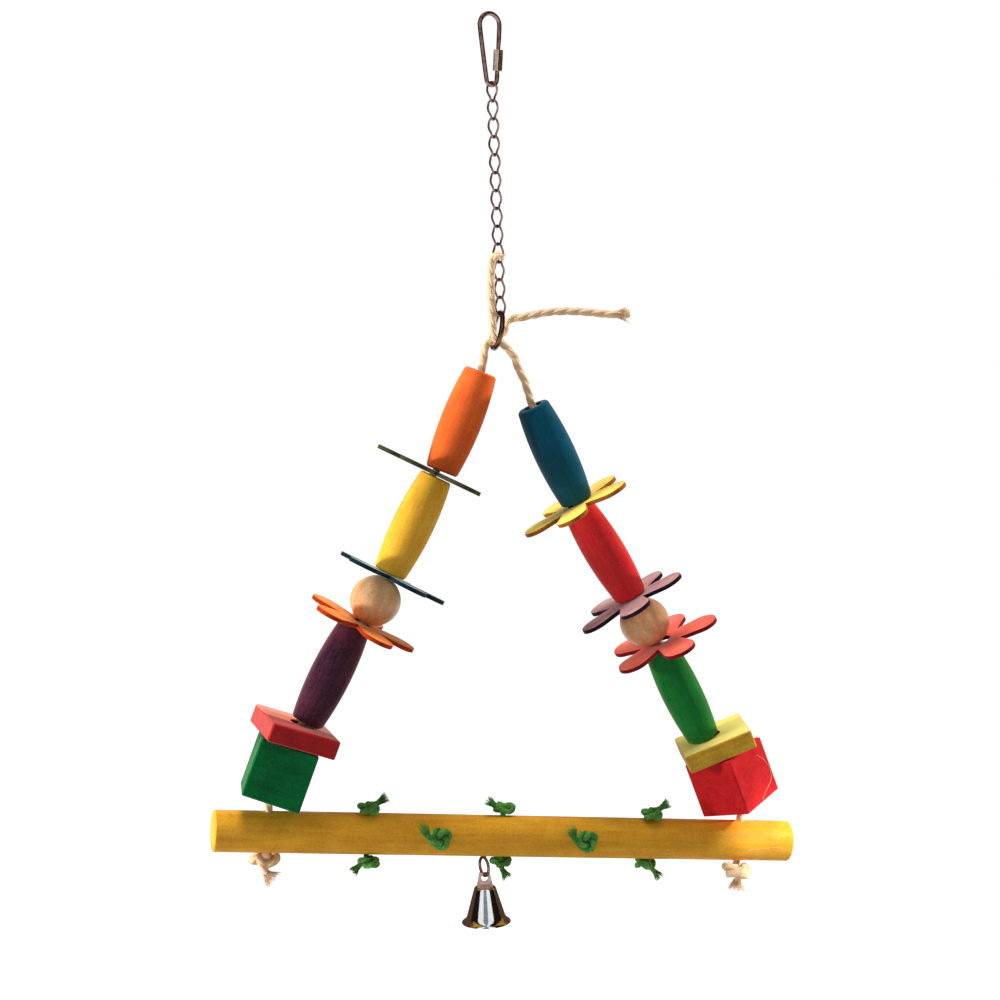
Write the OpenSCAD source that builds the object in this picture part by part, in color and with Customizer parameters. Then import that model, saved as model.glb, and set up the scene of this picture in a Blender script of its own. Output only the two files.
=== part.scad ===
// Hanging bird swing: quick link, twisted-link chain, ring, two roped strands
// of wooden beads, flowers and blocks, a drilled perch with twine, and a bell.
// The origin is where the cage bar bears in the top bend of the quick link.
// +Z is up, X runs along the perch, and the front faces -Y.

/* [Quick link] */
// Wire diameter of the quick link
ql_wire = 2.3; // [1.8:0.1:3]
// Bend radius at the wide top end, to the middle of the wire
ql_top_r = 6; // [5:0.1:8]
// Bend radius at the narrow lower end, to the middle of the wire
ql_low_r = 3.2; // [2.8:0.1:4]
// Distance between the middles of the two bends
ql_span = 26.2; // [24:0.1:34]
// Length of the screw sleeve
nut_len = 10.5; // [9:0.1:12]
// Width of the screw sleeve across its flats
nut_flats = 4.6; // [4.2:0.1:6]
// Height of the sleeve's lower end above the narrow bend
nut_rise = 4.1; // [3:0.1:5]
// Turn of the quick link about the vertical
ql_turn = 22; // [10:1:30]

/* [Chain] */
// Rise from one link to the next when the chain is taut
link_pitch = 8.9; // [8.5:0.1:12]
// Wire diameter of a chain link
link_wire = 1.1; // [0.8:0.1:1.3]
// Bend radius of a chain link, to the middle of the wire
link_bend_r = 2.5; // [2.45:0.05:3]
// Twist of a link from its top bend to its lower bend
link_twist = 90; // [80:1:95]
// Turn of the first link about the vertical
first_turn = -38; // [-45:1:-30]
// Further turn of each next link
next_turn = -2.1; // [-2.5:0.1:-1.9]

/* [Ring] */
// Outer diameter of the ring
ring_od = 21; // [19:0.5:26]
// Wire diameter of the ring
ring_wire = 2.6; // [2:0.1:2.7]
// Lean of the ring to the left in the plane of the swing
ring_lean = 13; // [8:1:16]

/* [Rope] */
// Diameter of the cotton rope
rope_d = 4; // [3:0.1:4.2]
// Run of the left rope from the ring to its first bead
left_run = 13.5; // [12:0.1:20]
// Lean of that run
left_run_lean = 32; // [28:1:36]
// Run of the right rope from the ring to its first bead
right_run = 35.8; // [34:0.1:40]
// Lean of that run
right_run_lean = -32; // [-36:1:-28]
// Length of the frayed rope end below each knot
rope_end = 9; // [5:0.5:11]

/* [Barrel beads] */
// Length of a barrel bead
bead_len = 54.2; // [46:0.1:60]
// Diameter of a barrel bead at its middle
bead_mid_d = 21; // [19:0.1:24]
// Diameter of a barrel bead at its ends
bead_end_d = 16.5; // [15:0.1:18]
// Bore of a barrel bead
bead_bore = 10; // [8:0.1:11]
// Bevel at the ends of a barrel bead
bead_bevel = 0.7; // [0.3:0.1:1]

/* [Flowers, balls and blocks] */
// Reach of a petal from the middle of a flower
petal_reach = 30.3; // [26:0.1:33]
// Radius of a petal's round tip
petal_tip_r = 8.6; // [7:0.1:9.5]
// Width of a petal where it leaves the middle
petal_root_w = 11; // [9:0.5:12]
// Radius of the middle disc of a flower
flower_mid_r = 10.5; // [10:0.1:12]
// Thickness of a flower
flower_t = 2.2; // [1.8:0.1:3]
// Bore of a flower
flower_bore = 8.4; // [8:0.1:9]
// Diameter of a ball
ball_d = 25.7; // [22:0.1:28]
// Bore of a ball
ball_bore = 8; // [7.6:0.1:8.6]
// Side of a square plate
plate_side = 37; // [34:0.5:42]
// Thickness of a square plate
plate_t = 9.8; // [8:0.1:12]
// Side of a cube
cube_side = 30.4; // [27:0.1:34]
// Bore of the plates and cubes
block_bore = 9; // [8.6:0.1:10]
// Bevel along the edges of the plates and cubes
block_bevel = 0.7; // [0.3:0.1:1]

/* [Perch] */
// Length of the perch
perch_len = 306; // [296:1:340]
// Diameter of the perch
perch_d = 21.2; // [19:0.1:24]
// Bevel at the ends of the perch
perch_bevel = 0.8; // [0.3:0.1:1.5]
// Diameter of the jute twine
twine_d = 2.9; // [2.4:0.1:3.2]
// Length of a loose twine end beyond its knot
twine_end = 9; // [6:0.5:12]

/* [Bell] */
// Outer diameter of the screw eye
eye_od = 11.2; // [10:0.1:13]
// Wire diameter of the screw eye
eye_wire = 1.5; // [1.2:0.1:1.8]
// Length of the screw eye's shank in the perch
eye_shank = 9; // [7:0.5:11]
// Height of the bell's shell
bell_h = 19; // [17:0.5:22]
// Diameter of the bell's crown
bell_crown_d = 11.6; // [11:0.1:13]
// Diameter of the bell at the root of its lip
bell_waist_d = 21; // [19:0.1:23]
// Diameter of the bell's lip
bell_lip_d = 25.6; // [24:0.1:28]
// Wall of the bell
bell_wall = 0.8; // [0.6:0.1:1]
// Diameter of the clapper's ball
clapper_d = 5.6; // [5:0.1:6.5]

/* [Hidden] */
$fn = 64;

// Clearances and overruns
seat = 0.3;
fit = 0.1;
over = 1;
link_count = 13;

// Lean, nod, turn and sideways share of each piece, from the top of a strand down. Lean is
// in the plane of the swing, nod is to the front, turn is about the piece's own axis. The
// sideways share is of the play that the rope has in the piece's bore and the one above it.
left_lean = [24.5, 28.5, 28.8, 29.5, 29, 30, 29.5, 22.5, 22.5];
left_nod = [0, 0, 0, -1, 0, 5, 0, 2.5, 0];
left_turn = [0, -54, 0, 0, 0, -73, 0, 8, -6];
left_share = [0, -0.95, 0.68, 0.4, -0.6, -0.4, -0.5, -0.8, -0.2];
right_lean = [-23.5, -27.5, -29.5, -28.5, -29, -24, -24.5, -20.3, -18.5];
right_nod = [0, -1.2, 0, -2.3, 0, 4, 0, 0, 0];
right_turn = [0, -112, 0, -100, 0, -85.5, 0, -9, -54];
right_share = [0, -0.33, 0.03, -0.35, 0.14, 0.9, -0.66, 0.95, 0.45];

// Places of the holes along the perch, as shares of its length
twine_shares = [0.259, 0.364, 0.488, 0.616, 0.751];
eye_share = 0.462;

// Turns of the knots: those of the twines on the seen and on the far side, and those below
// the perch on the left and the right rope
high_turns = [43, 268, 223, 268, 43];
low_turns = [43, 133, 172, 133, 223];
rope_turns = [200, 8];
rope_droops = [0.9, 1.6];

// Routes of the rope about the ring, from the ring's lowest point, for a rope and a ring
// whose thicknesses add up to the drawn sum. The first point of each loose end is the
// first point of the rope that it belongs to.
drawn_sum = 6.6;
left_thread = [[12.7, 1.4, 14.6], [9.7, 1.7, 14.3], [7.3, 2.2, 12], [6.1, 2.3, 8.4], [3.3, 2.3, 5.4],
    [-0.2, 1.2, 3.8], [-3.8, 0.4, 2], [-5, 0, -2]];
right_thread = [[-0.7, -3.2, 11], [-0.7, -3.2, 8], [0.7, -2.9, 5], [3.5, -2.4, 2.8], [6.7, -1.4, -0.2],
    [10.1, -0.6, -4.4], [12.4, 0, -11], [15.2, 0, -17]];
tail_up_route = [[-0.7, -3.2, 11], [-0.7, -3.2, 15], [-0.9, -3.3, 21], [-1, -3.3, 27],
    [-0.9, -3.3, 33], [-0.5, -3.4, 39], [0, -3.6, 44], [2, -4.8, 46.5], [5, -5.4, 45.5]];
tail_side_route = [[12.7, 1.4, 14.6], [15.7, 1.1, 14.9], [19.2, 0.5, 15.5], [25.2, 0, 16.5],
    [31.2, 0, 17], [38.2, 0, 17], [45.2, 0, 16.5], [53.2, 0, 15.5], [60.2, 0, 14.5], [71.6, 0, 14]];

// Small vector helpers
function unit(v) = v / norm(v);
function lean_dir(a) = [sin(a), 0, cos(a)];
function across(v, n) = v - (v * n) * n;

// Places in the quick link
ql_slope = asin((ql_top_r - ql_low_r) / ql_span);
ql_side = ql_span * cos(ql_slope);
ql_top_z = ql_wire / 2 - ql_top_r;
ql_low_z = ql_top_z - ql_span;
ql_floor_z = ql_low_z - ql_low_r;
nut_grip = 1.3;
nut_travel = nut_len - nut_grip;

// Places in the chain
link_span = link_pitch + link_wire + fit;
first_top_z = ql_floor_z + (ql_wire + link_wire) / 2 + fit;
function link_top_z(k) = first_top_z - (k - 1) * link_pitch;
function link_turn(k) = first_turn + (k - 1) * next_turn;

// Places of the ring
ring_r = (ring_od - ring_wire) / 2;
ring_top = [0, 0, link_top_z(link_count) - link_span + (link_wire + ring_wire) / 2 + fit];
ring_mid = ring_top - ring_r * lean_dir(ring_lean);
ring_low = ring_top - 2 * ring_r * lean_dir(ring_lean);

// Lengths of a strand's pieces along its rope, and how far out their edges bear
ball_len = sqrt(ball_d * ball_d - ball_bore * ball_bore);
piece_len = [bead_len, flower_t, bead_len, flower_t, ball_len, flower_t, bead_len, plate_t, cube_side];
bead_edge = bead_end_d / 2;
bear = [0, bead_edge, bead_edge, bead_edge, ball_bore / 2, ball_bore / 2, bead_edge, bead_edge, plate_side / 2];

// Middles of the top and lower face of each piece, stacked with room for their wedges
piece_bore = [bead_bore, flower_bore, bead_bore, flower_bore, ball_bore, flower_bore, bead_bore,
    block_bore, block_bore];
function play(i) = (piece_bore[i] - rope_d) / 2 - seat;
function side_dir(a) = [cos(a), 0, -sin(a)];
function wedge(lean, nod, i) =
    seat + bear[i] * (tan(abs(lean[i] - lean[i - 1])) + tan(abs(nod[i] - nod[i - 1])));
function step_side(strand, i) = strand[3][i] * (play(i) + play(i - 1))
    * side_dir((strand[1][i] + strand[1][i - 1]) / 2);
function top_of(strand, i) = i == 0 ? strand[0]
    : low_of(strand, i - 1) + step_side(strand, i)
    - wedge(strand[1], strand[2], i) * lean_dir((strand[1][i] + strand[1][i - 1]) / 2);
function low_of(strand, i) = top_of(strand, i) - piece_len[i] * lean_dir(strand[1][i]);
function middle_of(strand, i) = (top_of(strand, i) + low_of(strand, i)) / 2;
function passage(strand, i) = let (a = low_of(strand, i - 1), b = top_of(strand, i))
    a + (b - a) * play(i - 1) / (play(i - 1) + play(i));
left = [ring_low - left_run * lean_dir(left_run_lean), left_lean, left_nod, left_share, left_turn];
right = [ring_low - right_run * lean_dir(right_run_lean), right_lean, right_nod, right_share, right_turn];
last = len(piece_len) - 1;
left_low = low_of(left, last);
right_low = low_of(right, last);

// The perch lies under the lowest corner that each cube reaches as it turns
cube_reach = cube_side / sqrt(2);
left_corner = left_low + cube_reach * side_dir(left_lean[last]);
right_corner = right_low - cube_reach * side_dir(right_lean[last]);
corner_run = right_corner - left_corner;
perch_tilt = atan2(-corner_run[2], corner_run[0]);
perch_dir = [cos(perch_tilt), 0, -sin(perch_tilt)];
perch_up = [sin(perch_tilt), 0, cos(perch_tilt)];
perch_r = perch_d / 2;
perch_line = left_corner - (perch_r + seat) * perch_up;
left_hole = perch_line + ((left_low - perch_line) * perch_dir) * perch_dir;
right_hole = perch_line + ((right_low - perch_line) * perch_dir) * perch_dir;
perch_overhang = (perch_len - norm(right_hole - left_hole)) / 2;
perch_start = left_hole - perch_overhang * perch_dir;
rope_bore = rope_d + 2 * seat;
twine_bore = twine_d + 2 * seat;

// Places of the screw eye and the bell
eye_turn = 105;
hanger_turn = 0;
eye_r = (eye_od - eye_wire) / 2;
eye_mid = perch_start + eye_share * perch_len * perch_dir - (perch_r + eye_od / 2 + fit) * perch_up;
eye_low = eye_mid - [0, 0, eye_r];
tab_t = 0.8;
tab_hole_d = 3.8;
tab_hole_z = eye_low[2] - tab_hole_d / 2 + eye_wire / 2 + fit;
tab_rim = 0.9;
tab_top_w = 5.4;
tab_low_w = 8.2;
tab_drop = 4.6;
crown_z = tab_hole_z - tab_drop;
post_d = 2.2;
loop_d = 3.4;
loop_wire = 0.8;
clapper_pin_z = crown_z - bell_wall - loop_d + loop_wire / 2;
clapper_drop = 11.5;

// Directions along an open line, and normals carried along it without twisting
function ways(p) = [for (i = [0 : len(p) - 1])
    unit(p[min(i + 1, len(p) - 1)] - p[max(i - 1, 0)])];
function carried(w, i, n) = i == len(w) ? []
    : let (m = unit(across(n, w[i]))) concat([m], carried(w, i + 1, m));

// A round tube of flat faces along an open line, closed at both ends
module tube(p, d, sides, side_way) {
    w = ways(p);
    n = carried(w, 0, side_way);
    rings = len(p);
    points = [for (i = [0 : rings - 1]) for (k = [0 : sides - 1])
        let (a = 360 * k / sides) p[i] + d / 2 * (cos(a) * n[i] + sin(a) * cross(w[i], n[i]))];
    walls = [for (i = [0 : rings - 2]) for (k = [0 : sides - 1])
        let (a = i * sides + k, b = i * sides + (k + 1) % sides)
        each [[a, a + sides, b], [b, a + sides, b + sides]]];
    first = [for (k = [1 : sides - 2]) [0, k, k + 1]];
    end = (rings - 1) * sides;
    final = [for (k = [1 : sides - 2]) [end, end + k + 1, end + k]];
    polyhedron(points, concat(walls, first, final));
}

// An overhand knot in a cord: a trefoil cut open on one crossing. The cord comes down
// on the Z axis with its outer face bearing at the height 0, and the loose end leaves sideways.
knot_share = 2.25;
knot_rise_share = 1.06;
knot_open = 46;
knot_close = 374;
knot_steps = 30;
function trefoil(t, r) = r * [(knot_share + knot_rise_share * cos(3 * t)) * cos(2 * t),
    (knot_share + knot_rise_share * cos(3 * t)) * sin(2 * t), knot_rise_share * sin(3 * t)];
function knot_way(t) = unit(across(trefoil(t + 1, 1) - trefoil(t - 1, 1), [0, 0, 1]));
function knot(d, tail, droop) = let (
    r = d / 2,
    bend = 1.15 * r,
    enter = trefoil(knot_open, r),
    way = knot_way(knot_open),
    origin = enter - bend * way + [0, 0, (1 + knot_rise_share) * r + seat - enter[2]],
    leave = trefoil(knot_close, r),
    out = unit(knot_way(knot_close) + [0, 0, -droop]))
    [for (q = concat(
        [for (a = [0 : 30 : 60]) enter + [0, 0, bend] - bend * (cos(a) * way + sin(a) * [0, 0, 1])],
        [for (s = [0 : knot_steps]) trefoil(knot_open + (knot_close - knot_open) * s / knot_steps, r)],
        [for (s = [0.25, 0.5, 0.75, 1]) leave + s * tail * unit(out - 0.5 * s * [0, 0, droop])]))
        q - origin];
function turned(p, a) = [for (q = p)
    [q[0] * cos(a) - q[1] * sin(a), q[0] * sin(a) + q[1] * cos(a), q[2]]];
function flipped(p) = [for (q = p) [-q[0], q[1], -q[2]]];
function backward(p) = [for (i = [len(p) - 1 : -1 : 0]) p[i]];
function on_frame(p, at, x, y, z) = [for (q = p) at + q[0] * x + q[1] * y + q[2] * z];

// Quick link: a pear of round wire, open on the right where the sleeve closes it. The line
// runs from the gap down the short leg, round both bends and down to the gap again.
ql_sides = 12;
low_steps = 9;
top_steps = 14;
function ql_arc(z, r, from, to, steps) = [for (i = [0 : steps])
    let (a = from + (to - from) * i / steps) [r * cos(a), 0, z + r * sin(a)]];
function ql_leg(rise) = [ql_low_r * cos(ql_slope) + rise * sin(ql_slope), 0,
    ql_low_z - ql_low_r * sin(ql_slope) + rise * cos(ql_slope)];
module quick_link() {
    line = concat([ql_leg(nut_rise + nut_grip)],
        ql_arc(ql_low_z, ql_low_r, -ql_slope, ql_slope - 180, low_steps),
        ql_arc(ql_top_z, ql_top_r, 180 + ql_slope, -ql_slope, top_steps),
        [ql_leg(nut_rise + nut_travel)]);
    color("silver") rotate([0, 0, ql_turn]) tube(line, ql_wire, ql_sides, [0, 1, 0]);
}
module ql_side_frame() {
    translate([ql_low_r * cos(ql_slope), 0, ql_low_z - ql_low_r * sin(ql_slope)])
        rotate([0, ql_slope, 0]) children();
}
module quick_link_nut() {
    corner = nut_flats / sqrt(3);
    shoulder = corner - nut_flats / 2;
    color("gainsboro") rotate([0, 0, ql_turn]) ql_side_frame() translate([0, 0, nut_rise])
        difference() {
            intersection() {
                cylinder(r = corner, h = nut_len, $fn = 6);
                rotate_extrude() polygon([[0, 0], [nut_flats / 2, 0], [corner, shoulder],
                    [corner, nut_len - shoulder], [nut_flats / 2, nut_len], [0, nut_len]]);
            }
            translate([0, 0, -over]) cylinder(d = ql_wire + 2 * fit, h = nut_len + 2 * over);
        }
}

// Chain link: an oval of wire twisted between its two bends, so that links cross squarely
link_sides = 6;
bend_steps = 6;
twist_steps = 5;
function link_line() = let (s = link_span - 2 * link_bend_r) concat(
    [for (i = [0 : bend_steps]) let (a = 180 * i / bend_steps)
        [link_bend_r * cos(a), -link_bend_r + link_bend_r * sin(a)]],
    [for (i = [1 : twist_steps - 1]) [-link_bend_r, -link_bend_r - s * i / twist_steps]],
    [for (i = [0 : bend_steps]) let (a = 180 + 180 * i / bend_steps)
        [link_bend_r * cos(a), -link_bend_r - s + link_bend_r * sin(a)]],
    [for (i = [1 : twist_steps - 1]) [link_bend_r, -link_bend_r - s * (1 - i / twist_steps)]]);
function link_angle(z) = link_twist
    * min(1, max(0, (-z - link_bend_r) / (link_span - 2 * link_bend_r)));
module chain_link(k) {
    flat = link_line();
    count = len(flat);
    line = [for (q = flat) let (a = link_angle(q[1])) [q[0] * cos(a), q[0] * sin(a), q[1]]];
    points = [for (i = [0 : count - 1])
        let (w = unit(line[(i + 1) % count] - line[(i + count - 1) % count]),
            a = link_angle(flat[i][1]),
            n = unit(across([-sin(a), cos(a), 0], w)),
            m = cross(w, n))
        for (s = [0 : link_sides - 1]) let (b = 360 * s / link_sides)
            line[i] + link_wire / 2 * (cos(b) * n + sin(b) * m)];
    faces = [for (i = [0 : count - 1]) for (s = [0 : link_sides - 1])
        let (a = i * link_sides + s, b = i * link_sides + (s + 1) % link_sides,
            c = (i + 1) % count * link_sides + s, d = (i + 1) % count * link_sides + (s + 1) % link_sides)
        each [[a, c, b], [b, c, d]]];
    color("lightgray") translate([0, 0, link_top_z(k)]) rotate([0, 0, link_turn(k)])
        polyhedron(points, faces);
}

// Ring that joins the chain to both ropes
module ring() {
    color("silver") translate(ring_mid) rotate([0, ring_lean, 0]) rotate([0, 90, 0])
        rotate_extrude() translate([ring_r, 0]) circle(d = ring_wire);
}

// Ropes: each runs from the ring through its strand and the perch to a knot below it
function strand_line(strand) = [top_of(strand, 0), for (i = [1 : last]) passage(strand, i),
    low_of(strand, last)];
rope_sides = 8;
function perch_end(hole, turn, droop) = concat(
    [hole + (perch_r + seat) * perch_up, hole - perch_r * perch_up],
    on_frame(turned(knot(rope_d, rope_end, droop), turn), hole - perch_r * perch_up,
        perch_dir, [0, 1, 0], perch_up));
function from_ring(route) = [for (q = route) ring_low + q * (rope_d + ring_wire) / drawn_sum];
module rope_left() {
    color("wheat") tube(concat(from_ring(left_thread), strand_line(left),
        perch_end(left_hole, rope_turns[0], rope_droops[0])), rope_d, rope_sides, [0, 0, 1]);
}
module rope_right() {
    color("wheat") tube(concat(from_ring(right_thread), strand_line(right),
        perch_end(right_hole, rope_turns[1], rope_droops[1])), rope_d, rope_sides, [0, 1, 0]);
}
module rope_tail_up() {
    color("wheat") tube(from_ring(tail_up_route), rope_d, rope_sides, [0, 1, 0]);
}
module rope_tail_side() {
    color("wheat") tube(from_ring(tail_side_route), rope_d, rope_sides, [0, 0, 1]);
}

// Pieces of a strand, each drawn about its own middle with its bore along Z
module on_strand(strand, i) {
    translate(middle_of(strand, i)) rotate([0, strand[1][i], 0]) rotate([strand[2][i], 0, 0])
        rotate([0, 0, strand[4][i]]) children();
}
module bead() {
    bulge = (bead_mid_d - bead_end_d) / 2;
    arc_r = (bead_len * bead_len / 4 + bulge * bulge) / (2 * bulge);
    rim = bead_end_d / 2 - bead_bevel;
    wide = bead_bevel + bulge + bead_bevel;
    half = bead_len / 2;
    rotate_extrude() intersection() {
        translate([bead_mid_d / 2 - arc_r, 0]) circle(r = arc_r, $fn = 360);
        polygon([[bead_bore / 2, -half], [rim, -half], [rim + wide, wide - half],
            [rim + wide, half - wide], [rim, half], [bead_bore / 2, half]]);
    }
}
module flower() {
    tip = petal_reach - petal_tip_r;
    translate([0, 0, -flower_t / 2]) linear_extrude(flower_t) difference() {
        union() {
            circle(r = flower_mid_r);
            for (k = [0 : 4]) rotate([0, 0, 72 * k]) {
                translate([tip, 0]) circle(r = petal_tip_r);
                polygon([[0, -petal_root_w / 2], [tip, -petal_tip_r], [tip, petal_tip_r],
                    [0, petal_root_w / 2]]);
            }
        }
        circle(d = flower_bore);
    }
}
module ball() {
    difference() {
        sphere(d = ball_d);
        cylinder(d = ball_bore, h = ball_d + 2 * over, center = true);
    }
}
module bevelled(x, y) {
    a = x / 2;
    b = y / 2;
    c = block_bevel;
    polygon([[-a + c, -b], [a - c, -b], [a, -b + c], [a, b - c],
        [a - c, b], [-a + c, b], [-a, b - c], [-a, -b + c]]);
}
module block(side, t) {
    difference() {
        intersection() {
            linear_extrude(t, center = true) bevelled(side, side);
            rotate([90, 0, 0]) linear_extrude(side, center = true) bevelled(side, t);
            rotate([0, 90, 0]) linear_extrude(side, center = true) bevelled(t, side);
        }
        cylinder(d = block_bore, h = t + 2 * over, center = true);
    }
}
module bead_orange() { color("chocolate") on_strand(left, 0) bead(); }
module flower_green() { color("darkgreen") on_strand(left, 1) flower(); }
module bead_yellow() { color("gold") on_strand(left, 2) bead(); }
module flower_teal() { color("darkslategray") on_strand(left, 3) flower(); }
module ball_left() { color("burlywood") on_strand(left, 4) ball(); }
module flower_orange() { color("darkorange") on_strand(left, 5) flower(); }
module bead_purple() { color("indigo") on_strand(left, 6) bead(); }
module plate_red() { color("crimson") on_strand(left, 7) block(plate_side, plate_t); }
module cube_green() { color("seagreen") on_strand(left, 8) block(cube_side, cube_side); }
module bead_teal() { color("teal") on_strand(right, 0) bead(); }
module flower_yellow() { color("goldenrod") on_strand(right, 1) flower(); }
module bead_red() { color("firebrick") on_strand(right, 2) bead(); }
module flower_purple() { color("purple") on_strand(right, 3) flower(); }
module ball_right() { color("burlywood") on_strand(right, 4) ball(); }
module flower_red() { color("tomato") on_strand(right, 5) flower(); }
module bead_green() { color("forestgreen") on_strand(right, 6) bead(); }
module plate_yellow() { color("yellow") on_strand(right, 7) block(plate_side, plate_t); }
module cube_red() { color("red") on_strand(right, 8) block(cube_side, cube_side); }

// Perch: a dowel drilled for both ropes, five twines and the screw eye
module perch() {
    color("goldenrod") difference() {
        translate(perch_start) rotate([0, 90 + perch_tilt, 0]) rotate_extrude()
            polygon([[0, 0], [perch_r - perch_bevel, 0], [perch_r, perch_bevel],
                [perch_r, perch_len - perch_bevel], [perch_r - perch_bevel, perch_len], [0, perch_len]]);
        for (at = [left_hole, right_hole]) perch_hole(at, rope_bore, false);
        for (k = [0 : 4]) perch_hole(perch_start + twine_shares[k] * perch_len * perch_dir,
            twine_bore, k % 2 == 1);
        translate(eye_mid) rotate([0, perch_tilt, 0])
            cylinder(d = eye_wire + 2 * fit, h = eye_od / 2 + eye_shank + fit);
    }
}
module perch_hole(at, d, front) {
    translate(at) rotate([0, perch_tilt, 0]) rotate([front ? 90 : 0, 0, 0])
        cylinder(d = d, h = perch_d + 2 * over, center = true);
}

// Twine: a short length through the perch with a knot and a loose end on both sides
twine_sides = 6;
high_droop = 0.3;
low_droop = 0.5;
module twine(k) {
    at = perch_start + twine_shares[k - 1] * perch_len * perch_dir;
    front = k % 2 == 0;
    up = front ? [0, -1, 0] : perch_up;
    side = cross(up, perch_dir);
    low = turned(knot(twine_d, twine_end, low_droop), low_turns[k - 1]);
    high = turned(knot(twine_d, twine_end, high_droop), high_turns[k - 1]);
    line = concat(
        backward(on_frame(flipped(high), at + perch_r * up, perch_dir, side, up)),
        on_frame(low, at - perch_r * up, perch_dir, side, up));
    color("green") tube(line, twine_d, twine_sides, perch_dir);
}

// Bell: a round screw eye, a pressed tab riveted through the crown, and a swinging clapper
module screw_eye() {
    color("silver") {
        translate(eye_mid) rotate([0, 0, eye_turn]) rotate([90, 0, 0])
            rotate_extrude() translate([eye_r, 0]) circle(d = eye_wire);
        translate(eye_mid) rotate([0, perch_tilt, 0]) translate([0, 0, eye_r])
            cylinder(d = eye_wire, h = eye_shank + eye_wire / 2);
    }
}
module bell_hanger() {
    top = tab_hole_d / 2 + tab_rim;
    color("silver") translate([eye_low[0], eye_low[1], tab_hole_z]) {
        rotate([0, 0, hanger_turn]) difference() {
            rotate([90, 0, 0]) linear_extrude(tab_t, center = true) polygon([
                [-tab_low_w / 2, -tab_drop], [tab_low_w / 2, -tab_drop], [tab_low_w / 2, -tab_drop + tab_rim],
                [tab_top_w / 2, top], [-tab_top_w / 2, top], [-tab_low_w / 2, -tab_drop + tab_rim]]);
            rotate([90, 0, 0]) cylinder(d = tab_hole_d, h = tab_t + 2 * over, center = true);
        }
        translate([0, 0, -tab_drop - bell_wall - loop_wire])
            cylinder(d = post_d, h = bell_wall + loop_wire);
        translate([0, 0, -tab_drop - bell_wall - loop_d / 2]) rotate([90, 0, 0]) rotate_extrude()
            translate([(loop_d - loop_wire) / 2, 0]) circle(d = loop_wire);
    }
}
module bell_shell() {
    lip_h = 2.4;
    round_r = 1.4;
    color("silver") translate([eye_low[0], eye_low[1], crown_z]) difference() {
        rotate_extrude() difference() {
            bell_outline(0, lip_h, round_r, 0);
            bell_outline(bell_wall, lip_h, round_r, over);
        }
        translate([0, 0, -bell_wall - over]) cylinder(d = post_d + 2 * fit, h = bell_wall + 2 * over);
    }
}
module bell_outline(wall, lip_h, round_r, below) {
    crown_r = bell_crown_d / 2 - wall;
    lip_r = bell_lip_d / 2 - wall;
    shoulder = [for (a = [90 : -22.5 : 0])
        [crown_r - round_r + round_r * cos(a), -wall - round_r + round_r * sin(a)]];
    polygon(concat([[0, -wall]], shoulder, [[bell_waist_d / 2 - wall, lip_h - bell_h],
        [lip_r, -bell_h], [lip_r, -bell_h - below], [0, -bell_h - below]]));
}
module bell_clapper() {
    arm = 0.9;
    bend_r = (loop_d - loop_wire) / 2;
    color("dimgray") translate([eye_low[0], eye_low[1], clapper_pin_z]) {
        translate([0, 0, loop_wire + fit - bend_r]) rotate([90, 0, 90]) rotate_extrude()
            translate([bend_r, 0]) circle(d = loop_wire);
        translate([0, 0, -clapper_drop])
            cylinder(d = arm, h = clapper_drop + loop_wire + fit - 2 * bend_r);
        translate([0, 0, -clapper_drop]) sphere(d = clapper_d);
    }
}

quick_link();
quick_link_nut();
for (k = [1 : link_count]) chain_link(k);
ring();
rope_left();
rope_right();
rope_tail_up();
rope_tail_side();
bead_orange();
flower_green();
bead_yellow();
flower_teal();
ball_left();
flower_orange();
bead_purple();
plate_red();
cube_green();
bead_teal();
flower_yellow();
bead_red();
flower_purple();
ball_right();
flower_red();
bead_green();
plate_yellow();
cube_red();
perch();
twine(1);  // twine_1
twine(2);  // twine_2
twine(3);  // twine_3
twine(4);  // twine_4
twine(5);  // twine_5
screw_eye();
bell_hanger();
bell_shell();
bell_clapper();
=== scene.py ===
import bpy, bmesh, math, random
from mathutils import Matrix, Vector


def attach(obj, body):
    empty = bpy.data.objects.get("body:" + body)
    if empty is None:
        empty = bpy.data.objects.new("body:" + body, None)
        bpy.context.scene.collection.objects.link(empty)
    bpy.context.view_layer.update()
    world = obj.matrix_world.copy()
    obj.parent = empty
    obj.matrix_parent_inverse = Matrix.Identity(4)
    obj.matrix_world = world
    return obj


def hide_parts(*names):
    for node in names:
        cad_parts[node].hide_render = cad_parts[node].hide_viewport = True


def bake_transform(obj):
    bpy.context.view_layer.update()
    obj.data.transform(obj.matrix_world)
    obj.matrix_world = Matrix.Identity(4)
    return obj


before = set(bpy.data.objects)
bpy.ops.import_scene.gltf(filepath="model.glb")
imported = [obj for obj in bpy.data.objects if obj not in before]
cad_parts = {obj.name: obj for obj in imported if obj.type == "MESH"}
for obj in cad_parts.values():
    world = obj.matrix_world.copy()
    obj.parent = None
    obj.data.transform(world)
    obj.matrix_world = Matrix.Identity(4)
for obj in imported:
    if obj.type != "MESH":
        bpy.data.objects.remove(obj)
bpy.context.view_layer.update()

# Camera: a long lens about 1.2 m from the swing, a little to the left of its front and level
# with the chain, rolled slightly so that the chain hangs upright in the picture.
CAMERA_TURN = 12.7
azimuth = math.radians(CAMERA_TURN)
FOCAL_PIXELS = 2319
PICTURE_PIXELS = 1000
HORIZON_ROW = 234
pitch = math.atan((PICTURE_PIXELS / 2 - HORIZON_ROW) / FOCAL_PIXELS)
roll = math.radians(-2.2)
forward = Vector((math.sin(azimuth) * math.cos(pitch), math.cos(azimuth) * math.cos(pitch), -math.sin(pitch)))
level = Vector((math.cos(azimuth), -math.sin(azimuth), 0))
upward = level.cross(forward)
right_way = level * math.cos(roll) + upward * math.sin(roll)
up_way = -level * math.sin(roll) + upward * math.cos(roll)
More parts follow.
